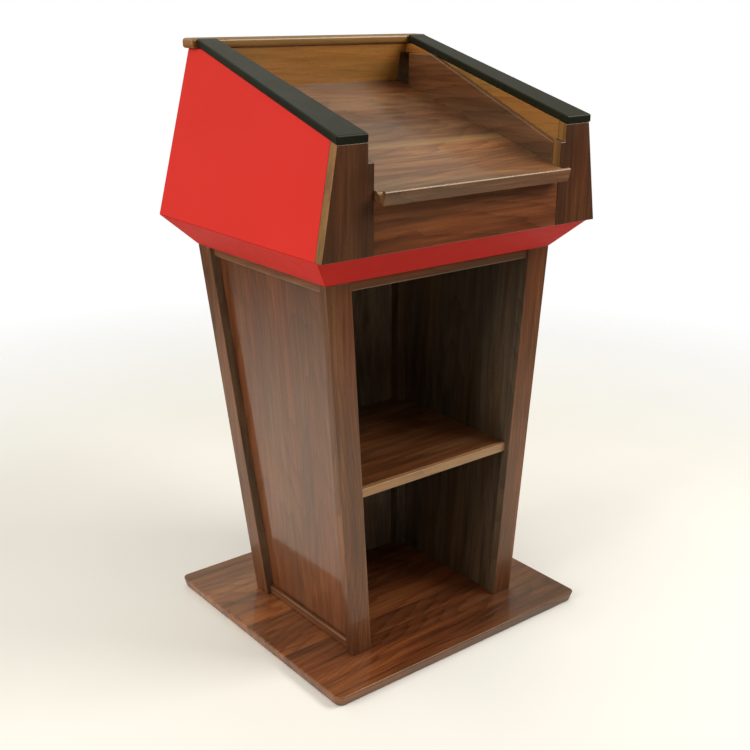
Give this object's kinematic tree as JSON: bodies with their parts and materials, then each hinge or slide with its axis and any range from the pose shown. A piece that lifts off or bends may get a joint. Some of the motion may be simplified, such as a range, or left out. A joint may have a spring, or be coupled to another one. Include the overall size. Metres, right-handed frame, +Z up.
{
  "type": "presentation lectern",
  "caption": "Free-standing speaker's lectern: open tapered wooden cabinet with a shelf, on a base plate, under a flared collar and a reading box with a sloping board.",
  "frame": {"origin": "on the floor under the centre of the whole object's bounding box", "axes": "+X to the right of a speaker standing at the open side, +Y away from the speaker towards the audience, +Z up"},
  "size_m": [0.6782, 0.5968, 1.2],
  "materials": {
    "walnut": "satin lacquer, visible grain",
    "walnut_lipping": "satin lacquer, lighter edge strip",
    "inside_board": "plain sheet board, matt",
    "red_panel": "red satin lacquer on board",
    "black_cap": "black satin lacquer",
    "steel": "plain zinc-coated screw"
  },
  "bodies": {
    "root": {"apron": "walnut", "back_bottom_strip": "walnut", "back_panel": "walnut", "back_top_strip": "walnut", "base_board": "walnut", "base_screw_front_left": "steel", "base_screw_front_right": "steel", "base_screw_rear_left": "steel", "base_screw_rear_right": "steel", "board_cleat_left": "inside_board", "board_cleat_right": "inside_board", "box_floor": "inside_board", "cabinet_top": "inside_board", "collar_front": "red_panel", "collar_left": "red_panel", "collar_rear": "red_panel", "collar_right": "red_panel", "front_post_left": "walnut", "front_post_right": "walnut", "front_stile_left": "walnut", "front_stile_right": "walnut", "front_top_rail": "walnut", "inner_rear_wall": "walnut", "inner_side_panel_left": "walnut", "inner_side_panel_right": "walnut", "inner_side_wall_left": "walnut", "inner_side_wall_right": "walnut", "liner_left": "walnut", "liner_right": "walnut", "neck_rail_front": "inside_board", "neck_rail_left": "inside_board", "neck_rail_rear": "inside_board", "neck_rail_right": "inside_board", "reading_board": "walnut", "rear_cap": "walnut", "rear_post_left": "walnut", "rear_post_right": "walnut", "red_rear_panel": "red_panel", "red_side_panel_left": "red_panel", "red_side_panel_right": "red_panel", "shelf": "walnut", "shelf_cleat_left": "walnut", "shelf_cleat_right": "walnut", "shelf_lipping": "walnut_lipping", "side_bottom_strip_left": "walnut", "side_bottom_strip_right": "walnut", "side_cap_left": "black_cap", "side_cap_right": "black_cap", "side_panel_left": "walnut", "side_panel_right": "walnut", "side_top_strip_left": "walnut", "side_top_strip_right": "walnut"}
  },
  "joints": []
}
